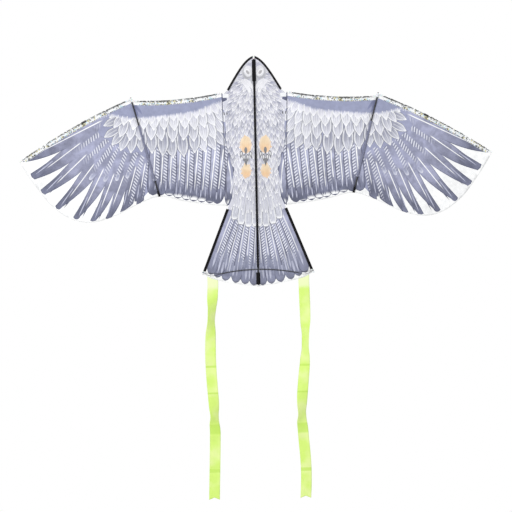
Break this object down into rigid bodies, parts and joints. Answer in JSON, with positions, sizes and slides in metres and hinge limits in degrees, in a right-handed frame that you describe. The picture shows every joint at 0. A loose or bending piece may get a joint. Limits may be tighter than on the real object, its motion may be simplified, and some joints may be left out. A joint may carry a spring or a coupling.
{
  "type": "bird scarer kite",
  "caption": "Hawk-shaped bird scarer kite: printed cloth sail on thin rods, wings hinged at body and wrist, fan tail with hanging ribbon streamers and a tow eyelet for the line.",
  "frame": {"origin": "centre of the tow eyelet on the belly side, where the flying line is tied", "axes": "+X towards the wing tip on the right of someone who looks at the frame side, +Y out of the belly side, +Z along the spine towards the nose"},
  "size_m": [1.102, 0.0276, 1.0329],
  "materials": {
    "printed_sail": "printed plain-weave polyester",
    "black_tape": "woven polyester tape",
    "glass_fibre_rod": "pultruded, satin",
    "vinyl": "soft translucent vinyl",
    "black_ferrule": "moulded, glossy",
    "black_cord": "twisted thread",
    "seam_thread": "rolled seam",
    "pale_thread": "sewing thread",
    "brass": "pressed",
    "white_patch": "plain-weave polyester",
    "ribbon": "fluorescent taffeta ribbon",
    "clear_film": "clear iridescent film"
  },
  "bodies": {
    "fuselage": {"body_panel": "printed_sail", "spine_rod": "glass_fibre_rod", "spine_casing": "black_tape", "nose_pocket": "black_tape", "tail_pocket": "black_tape", "spine_caps": "vinyl", "head_binding_left": "black_tape", "head_binding_right": "black_tape", "tail_rod_left": "glass_fibre_rod", "tail_rod_right": "glass_fibre_rod", "tail_sleeve_left": "black_tape", "tail_sleeve_right": "black_tape", "tail_rod_caps": "vinyl", "tail_spreader": "glass_fibre_rod", "tail_ties": "black_cord", "shoulder_spreader": "glass_fibre_rod", "spreader_caps": "vinyl", "spreader_ties": "black_cord", "seam_roll_left": "seam_thread", "seam_roll_right": "seam_thread", "tow_tab": "black_tape", "tow_eyelet": "brass", "shoulder_patch_left": "white_patch", "shoulder_patch_right": "white_patch", "streamer_hem_left": "ribbon", "streamer_hem_right": "ribbon", "streamer_stitches": "pale_thread"},
    "left_inner_wing": {"inner_panel_left": "printed_sail", "inner_spar_left": "glass_fibre_rod", "inner_sleeve_left": "clear_film", "shoulder_cap_left": "vinyl", "inner_hose_left": "vinyl", "batten_left": "glass_fibre_rod", "batten_casing_left": "printed_sail", "batten_pocket_left": "black_tape"},
    "left_outer_wing": {"outer_panel_left": "printed_sail", "outer_spar_left": "glass_fibre_rod", "outer_hose_left": "vinyl", "ferrule_left": "black_ferrule", "tip_spar_left": "glass_fibre_rod", "outer_sleeve_left": "clear_film", "tip_cap_left": "vinyl"},
    "left_streamer": {"streamer_left": "ribbon"},
    "right_inner_wing": {"inner_panel_right": "printed_sail", "inner_spar_right": "glass_fibre_rod", "inner_sleeve_right": "clear_film", "shoulder_cap_right": "vinyl", "inner_hose_right": "vinyl", "batten_right": "glass_fibre_rod", "batten_casing_right": "printed_sail", "batten_pocket_right": "black_tape"},
    "right_outer_wing": {"outer_panel_right": "printed_sail", "outer_spar_right": "glass_fibre_rod", "outer_hose_right": "vinyl", "ferrule_right": "black_ferrule", "tip_spar_right": "glass_fibre_rod", "outer_sleeve_right": "clear_film", "tip_cap_right": "vinyl"},
    "right_streamer": {"streamer_right": "ribbon"}
  },
  "joints": [
    {"name": "left_wing_flap", "type": "hinge", "parent": "fuselage", "child": "left_inner_wing", "pos_m": [-0.076, -0.011, 0.048], "axis": [0.0266, 0, -0.9996], "range_deg": [-60, 30]},
    {"name": "left_wingtip_flex", "type": "hinge", "parent": "left_inner_wing", "child": "left_outer_wing", "pos_m": [-0.287, -0.011, 0.036], "axis": [0.2606, 0, -0.9655], "range_deg": [-30, 20]},
    {"name": "left_streamer_swing", "type": "hinge", "parent": "fuselage", "child": "left_streamer", "pos_m": [-0.106, -0.01073, -0.398], "axis": [1, 0, 0], "range_deg": [-85, 85]},
    {"name": "right_wing_flap", "type": "hinge", "parent": "fuselage", "child": "right_inner_wing", "pos_m": [0.076, -0.011, 0.048], "axis": [0.0266, 0, 0.9996], "range_deg": [-60, 30]},
    {"name": "right_wingtip_flex", "type": "hinge", "parent": "right_inner_wing", "child": "right_outer_wing", "pos_m": [0.287, -0.011, 0.036], "axis": [0.2606, 0, 0.9655], "range_deg": [-30, 20]},
    {"name": "right_streamer_swing", "type": "hinge", "parent": "fuselage", "child": "right_streamer", "pos_m": [0.106, -0.01073, -0.398], "axis": [1, 0, 0], "range_deg": [-85, 85]}
  ]
}
